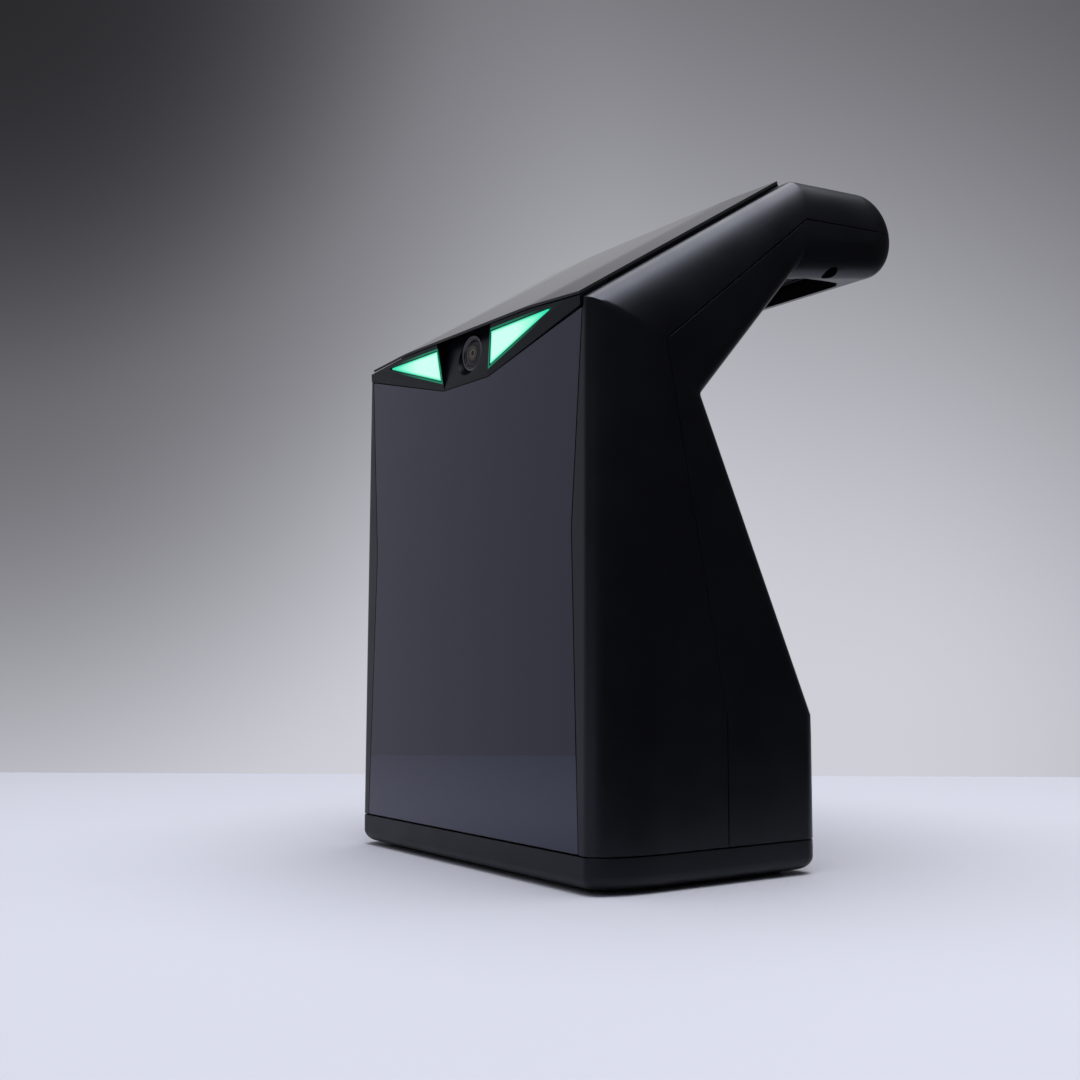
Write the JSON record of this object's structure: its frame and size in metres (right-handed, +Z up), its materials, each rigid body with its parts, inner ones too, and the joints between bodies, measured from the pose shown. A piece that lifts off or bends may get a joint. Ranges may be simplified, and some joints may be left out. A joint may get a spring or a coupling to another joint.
{
  "type": "golf launch monitor",
  "caption": "Free-standing camera launch monitor: smoked front window, lit brow with a camera, sloping touch screen, rear carrying handle, power button and covered charging port.",
  "frame": {"origin": "on the table, under the middle of the object's box", "axes": "+Z up; -Y out of the front window, towards the ball; +X to the right when facing along +Y"},
  "size_m": [0.1608, 0.1484, 0.2505],
  "materials": {
    "shell_plastic": "fine matte texture",
    "button_plastic": "satin",
    "base_plastic": "satin",
    "foot_rubber": "matte",
    "seal_rubber": "matte",
    "grip_rubber": "soft matte",
    "cover_rubber": "matte",
    "smoked_window": "polished, infrared-clear smoke tint",
    "bezel_plastic": "satin",
    "lens_metal": "anodised satin",
    "lens_glass": "coated",
    "screen_glass": "polished",
    "screen_panel": "satin",
    "light_diffuser": "glowing frosted diffuser",
    "chassis_metal": "satin",
    "heat_sink_metal": "anodised",
    "steel": "brushed",
    "screw_steel": "machined",
    "switch_plastic": "satin",
    "battery_wrap": "satin wrap",
    "wire_jacket": "satin",
    "flex_film": "polyimide film",
    "circuit_board": "solder mask"
  },
  "bodies": {
    "housing": {"base_screw_1": "screw_steel", "base_screw_2": "screw_steel", "base_screw_3": "screw_steel", "base_screw_4": "screw_steel", "base_tray": "base_plastic", "battery_bracket": "steel", "battery_lead": "wire_jacket", "battery_pack": "battery_wrap", "board_screw_1": "screw_steel", "board_screw_2": "screw_steel", "board_screw_3": "screw_steel", "board_screw_4": "screw_steel", "brow_bezel": "bezel_plastic", "brow_camera_barrel": "lens_metal", "brow_camera_board": "circuit_board", "brow_lens_glass": "lens_glass", "brow_lens_ring": "lens_metal", "camera_board_left": "circuit_board", "camera_board_right": "circuit_board", "camera_holder_left": "shell_plastic", "camera_holder_right": "shell_plastic", "camera_lens_left": "lens_metal", "camera_lens_right": "lens_metal", "chassis_frame": "chassis_metal", "chassis_screw_1": "screw_steel", "chassis_screw_2": "screw_steel", "chassis_screw_3": "screw_steel", "chassis_screw_4": "screw_steel", "display_backing_plate": "steel", "display_controller_board": "circuit_board", "display_frame": "bezel_plastic", "display_glass": "screen_glass", "display_panel": "screen_panel", "display_ribbon": "flex_film", "eye_lens_left": "light_diffuser", "eye_lens_right": "light_diffuser", "eye_light_board_left": "circuit_board", "eye_light_board_right": "circuit_board", "foot_pad": "foot_rubber", "front_shell": "shell_plastic", "front_window": "smoked_window", "handle_grip_pad": "grip_rubber", "handle_screw_left": "screw_steel", "handle_screw_right": "screw_steel", "heat_sink": "heat_sink_metal", "io_board": "circuit_board", "io_ribbon": "flex_film", "ir_light_board_lower": "circuit_board", "ir_light_board_upper": "circuit_board", "main_board": "circuit_board", "power_switch": "switch_plastic", "rear_shell": "shell_plastic", "shield_can": "steel", "usb_c_port": "steel", "wifi_antenna": "flex_film", "window_gasket": "seal_rubber", "io_screw_1": "screw_steel", "io_screw_2": "screw_steel"},
    "power_button": {"power_button": "button_plastic"},
    "port_cover": {"port_cover": "cover_rubber"}
  },
  "joints": [
    {"name": "button_press", "type": "slide", "parent": "housing", "child": "power_button", "axis": [0, -1, 0], "range_m": [0, 0.0008], "stiffness_N_per_m": 900, "springref_m": -0.0005},
    {"name": "cover_hinge", "type": "hinge", "parent": "housing", "child": "port_cover", "pos_m": [-0.014, 0.02196, 0.0386], "axis": [1, 0, 0], "range_deg": [0, 105]}
  ]
}
